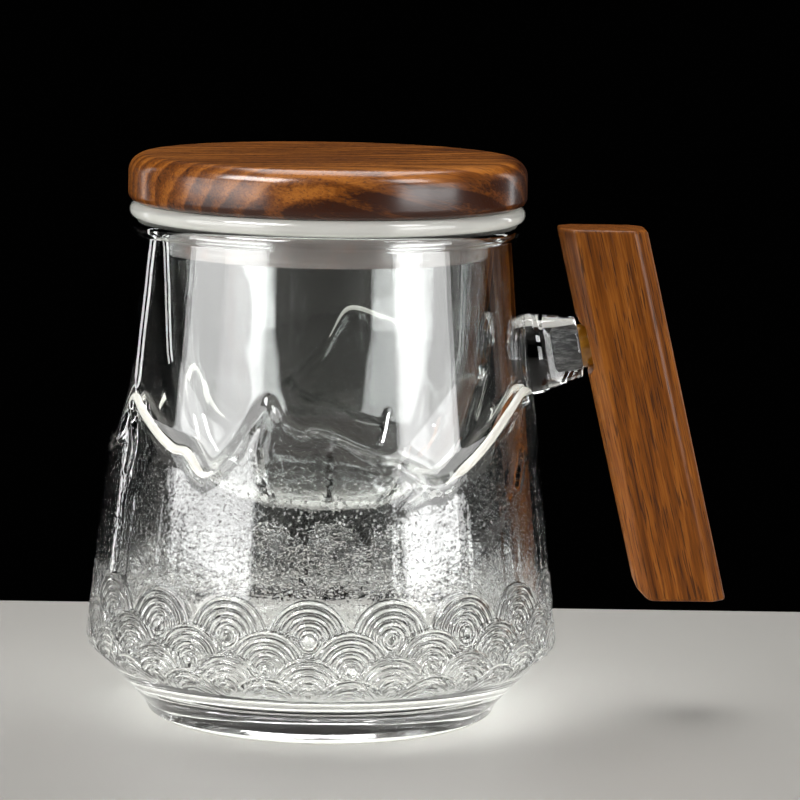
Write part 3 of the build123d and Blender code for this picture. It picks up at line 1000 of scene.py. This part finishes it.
def cutHole(piece, centre, axis, radius, depth):
    # Takes a cylinder with its middle at centre out of the piece
    selectOnly()
    bpy.ops.mesh.primitive_cylinder_add(
        vertices=96, radius=radius * mm, depth=depth * mm, location=centre * mm,
        rotation=axis.to_track_quat("Z", "Y").to_euler(),
    )
    peg = bpy.context.object
    cut = piece.modifiers.new("cut", "BOOLEAN")
    cut.operation = "DIFFERENCE"
    cut.solver = "EXACT"
    cut.object = peg
    bpy.context.view_layer.objects.active = piece
    bpy.ops.object.modifier_apply(modifier=cut.name)
    bpy.data.objects.remove(peg)


def buildGrip():
    lean = math.radians(gripSettings["lean"])
    root, stubAxis = stubPlace()
    stubEnd = root + stubAxis * stubSettings["length"]
    face = stubEnd + stubAxis * gripSettings["glueGap"]
    out = Vector((math.cos(lean), 0, math.sin(lean)))
    selectOnly()
    bpy.ops.mesh.primitive_cube_add(size=1)
    piece = nameNew("grip_bar")
    bpy.ops.object.mode_set(mode="EDIT")
    bpy.ops.mesh.select_all(action="SELECT")
    bpy.ops.transform.resize(value=[gripSettings[name] * mm for name in ("width", "depth", "rawLength")])
    bpy.ops.object.mode_set(mode="OBJECT")
    mesh = piece.data
    deselectMesh(mesh)
    for edge in mesh.edges:    # the four long ones
        low, high = (mesh.vertices[index].co for index in edge.vertices)
        edge.select = abs(low.z - high.z) > mm
    bpy.ops.object.mode_set(mode="EDIT")
    bpy.ops.mesh.select_mode(type="EDGE")
    bpy.ops.mesh.bevel(offset=gripSettings["bevel"] * mm, segments=1, affect="EDGES")
    bpy.ops.mesh.select_all(action="SELECT")
    bpy.ops.transform.rotate(value=lean, orient_axis="Y", center_override=(0, 0, 0))
    bpy.ops.transform.translate(value=(face + out * (gripSettings["width"] / 2)) * mm)
    for height, keepLow in ((gripSettings["top"], True), (gripSettings["bottom"], False)):
        bpy.ops.mesh.select_all(action="SELECT")
        bpy.ops.mesh.bisect(
            plane_co=(0, 0, height * mm), plane_no=(0, 0, 1), use_fill=True,
            clear_outer=keepLow, clear_inner=not keepLow,
        )
    bpy.ops.object.mode_set(mode="OBJECT")
    bottom = gripSettings["bottom"] * mm
    heelX = min(vertex.co.x for vertex in mesh.vertices if vertex.co.z < bottom + 0.1 * mm)
    bpy.ops.object.mode_set(mode="EDIT")
    bpy.ops.mesh.select_all(action="SELECT")
    slant = Vector((1, 0, 1)).normalized()
    heelPoint = Vector((heelX, 0, bottom)) + slant * gripSettings["heel"] * mm
    bpy.ops.mesh.bisect(plane_co=heelPoint, plane_no=slant, use_fill=True, clear_inner=True)
    bpy.ops.object.mode_set(mode="OBJECT")
    soften = piece.modifiers.new("soften", "BEVEL")
    soften.width = gripSettings["softEdge"] * mm
    soften.segments = 4
    soften.limit_method = "ANGLE"
    soften.angle_limit = math.radians(gripSettings["softAngle"])
    bpy.ops.object.modifier_apply(modifier=soften.name)
    spotPeg, holeDepth = gripSettings["spotPeg"], gripSettings["holeDepth"]
    spotMiddle = face + out * (gripSettings["spotDepth"] - spotPeg / 2)
    cutHole(piece, spotMiddle, out, gripSettings["spotRadius"], spotPeg)
    cutHole(piece, stubEnd + stubAxis * (holeDepth / 2), stubAxis, gripSettings["holeRadius"], holeDepth)
    finishPiece(piece, "mug", gripWalnut, ["handle_grip"], smoothAngle=30)


buildGrip()


# CAD nodes that keep their own shape get their finish here

for nodeName, material in (("handle_dowel", dowelWood), ("handle_adhesive", amberAdhesive)):
    node = bpy.data.objects[nodeName]
    node.data.materials.clear()
    node.data.materials.append(material)
print("dowel and adhesive finished")


# Floor, background, lamps and camera, with their places in metres

stageSettings = {
    "floorColour": (0.40, 0.386, 0.362),
    "floorCloud": 0.97,    # shade of the floor's darkest spots
    "floorSize": (4, 3, 1),
    "floorBack": 0.105,    # from the mug's axis to the floor's back edge
    "background": 0.0004,
    "ambient": 0.22,
    "lampAim": (0, 0, 0.06),
    "bounces": {
        "max_bounces": 24, "transmission_bounces": 24, "transparent_max_bounces": 24, "glossy_bounces": 6,
    },
}


def buildFloor():
    selectOnly()
    bpy.ops.mesh.primitive_plane_add(size=1)
    floor = bpy.context.object
    floor.name = "floor"
    size = stageSettings["floorSize"]
    bpy.ops.object.mode_set(mode="EDIT")
    bpy.ops.mesh.select_all(action="SELECT")
    bpy.ops.transform.resize(value=size)
    bpy.ops.transform.translate(value=(0, stageSettings["floorBack"] - size[1] / 2, 0))
    bpy.ops.object.mode_set(mode="OBJECT")
    material, tree, shader, position = newMaterial("paleFloor")
    bright = stageSettings["floorColour"]
    dull = [value * stageSettings["floorCloud"] for value in bright]
    colour = rampStep(tree, noiseStep(tree, position, 9, 3.0), (0.0, dull), (1.0, bright))
    tree.links.new(colour, shader.inputs["Base Color"])
    shader.inputs["Roughness"].default_value = 0.5
    floor.data.materials.append(material)


def buildWorld():
    # Dark behind the glass for all that is seen, and a soft fill for the lit surfaces
    world = bpy.data.worlds.new("studio")
    bpy.context.scene.world = world
    world.use_nodes = True
    tree = world.node_tree
    tree.nodes.clear()
    path = tree.nodes.new("ShaderNodeLightPath")
    seen = mathStep(tree, "MAXIMUM", path.outputs["Is Camera Ray"], path.outputs["Is Glossy Ray"])
    seen = mathStep(tree, "MAXIMUM", seen, path.outputs["Is Transmission Ray"])
    mix = tree.nodes.new("ShaderNodeMixShader")
    tree.links.new(seen, mix.inputs[0])
    shades = (((1.0, 0.98, 0.96, 1), stageSettings["ambient"]), ((1, 1, 1, 1), stageSettings["background"]))
    for socket, (colour, strength) in zip(mix.inputs[1:], shades):
        shade = tree.nodes.new("ShaderNodeBackground")
        setSockets(shade, {"Color": colour, "Strength": strength})
        tree.links.new(shade.outputs[0], socket)
    output = tree.nodes.new("ShaderNodeOutputWorld")
    tree.links.new(mix.outputs[0], output.inputs["Surface"])


# Name, degrees from the front, height, distance, width, tall, watts, and whether it lights matt surfaces.
# The others are only seen in reflections and through the glass.
lampSettings = [
    ("leftBox", -61, 0.28, 0.95, 0.94, 0.52, 7.6, True),
    ("rightBox", 58, 0.28, 0.95, 0.64, 0.52, 5.3, True),
    ("topBox", 170, 0.46, 0.10, 0.28, 0.28, 1.5, True),
    ("leftStrip", -128, 0.16, 0.65, 0.035, 0.45, 0.22, False),
    ("rightStrip", 128, 0.16, 0.65, 0.05, 0.45, 0.35, False),
    ("leftGlow", -50, 0.20, 0.93, 0.37, 0.42, 0.8, False),
    ("rightGlow", 50, 0.20, 0.93, 0.25, 0.42, 1.0, False),
    ("highLeft", -50, 0.60, 0.52, 0.40, 0.24, 9.0, False),
    ("highRight", 56, 0.60, 0.52, 0.22, 0.22, 2.4, False),
    ("lowLeft", -61, 0.06, 0.95, 0.94, 0.08, 0.85, False),
    ("lowRight", 58, 0.06, 0.95, 0.64, 0.08, 0.90, False),
]


def buildLamps():
    for name, azimuth, height, distance, width, tall, power, matt in lampSettings:
        turn = math.radians(azimuth)
        place = Vector((math.sin(turn) * distance, -math.cos(turn) * distance, height))
        bpy.ops.object.light_add(type="AREA", location=place)
        lamp = bpy.context.object
        lamp.name = name
        lamp.rotation_euler = (Vector(stageSettings["lampAim"]) - place).to_track_quat("-Z", "Y").to_euler()
        lamp.data.shape = "RECTANGLE"
        lamp.data.size = width
        lamp.data.size_y = tall
        lamp.data.energy = power
        lamp.visible_camera = False
        lamp.visible_diffuse = matt


cameraSettings = {
    "place": (0, -0.7436, 0.1771),
    "yaw": 0.022,    # radians
    "pitch": 0.146,
    "roll": 0.019,
    "lens": 155.3,
}


def buildCamera():
    yaw, pitch, roll = (cameraSettings[name] for name in ("yaw", "pitch", "roll"))
    level = Vector((math.sin(yaw), math.cos(yaw), 0))
    right = Vector((math.cos(yaw), -math.sin(yaw), 0))
    up = Vector((0, 0, 1))
    look = level * math.cos(pitch) - up * math.sin(pitch)
    over = up * math.cos(pitch) + level * math.sin(pitch)
    side = right * math.cos(roll) + over * math.sin(roll)
    top = over * math.cos(roll) - right * math.sin(roll)
    bpy.ops.object.camera_add()
    camera = bpy.context.object
    camera.name = "photoCamera"
    turned = Matrix((side, top, -look)).transposed().to_4x4()
    camera.matrix_world = Matrix.Translation(cameraSettings["place"]) @ turned
    camera.data.lens = cameraSettings["lens"]
    camera.data.sensor_width = 36
    camera.data.clip_start = 0.01
    bpy.context.scene.camera = camera


buildFloor()
buildWorld()
buildLamps()
buildCamera()
bpy.context.scene.view_settings.view_transform = "Standard"
for name, count in stageSettings["bounces"].items():
    setattr(bpy.context.scene.cycles, name, count)
print("stage, lamps and camera placed")
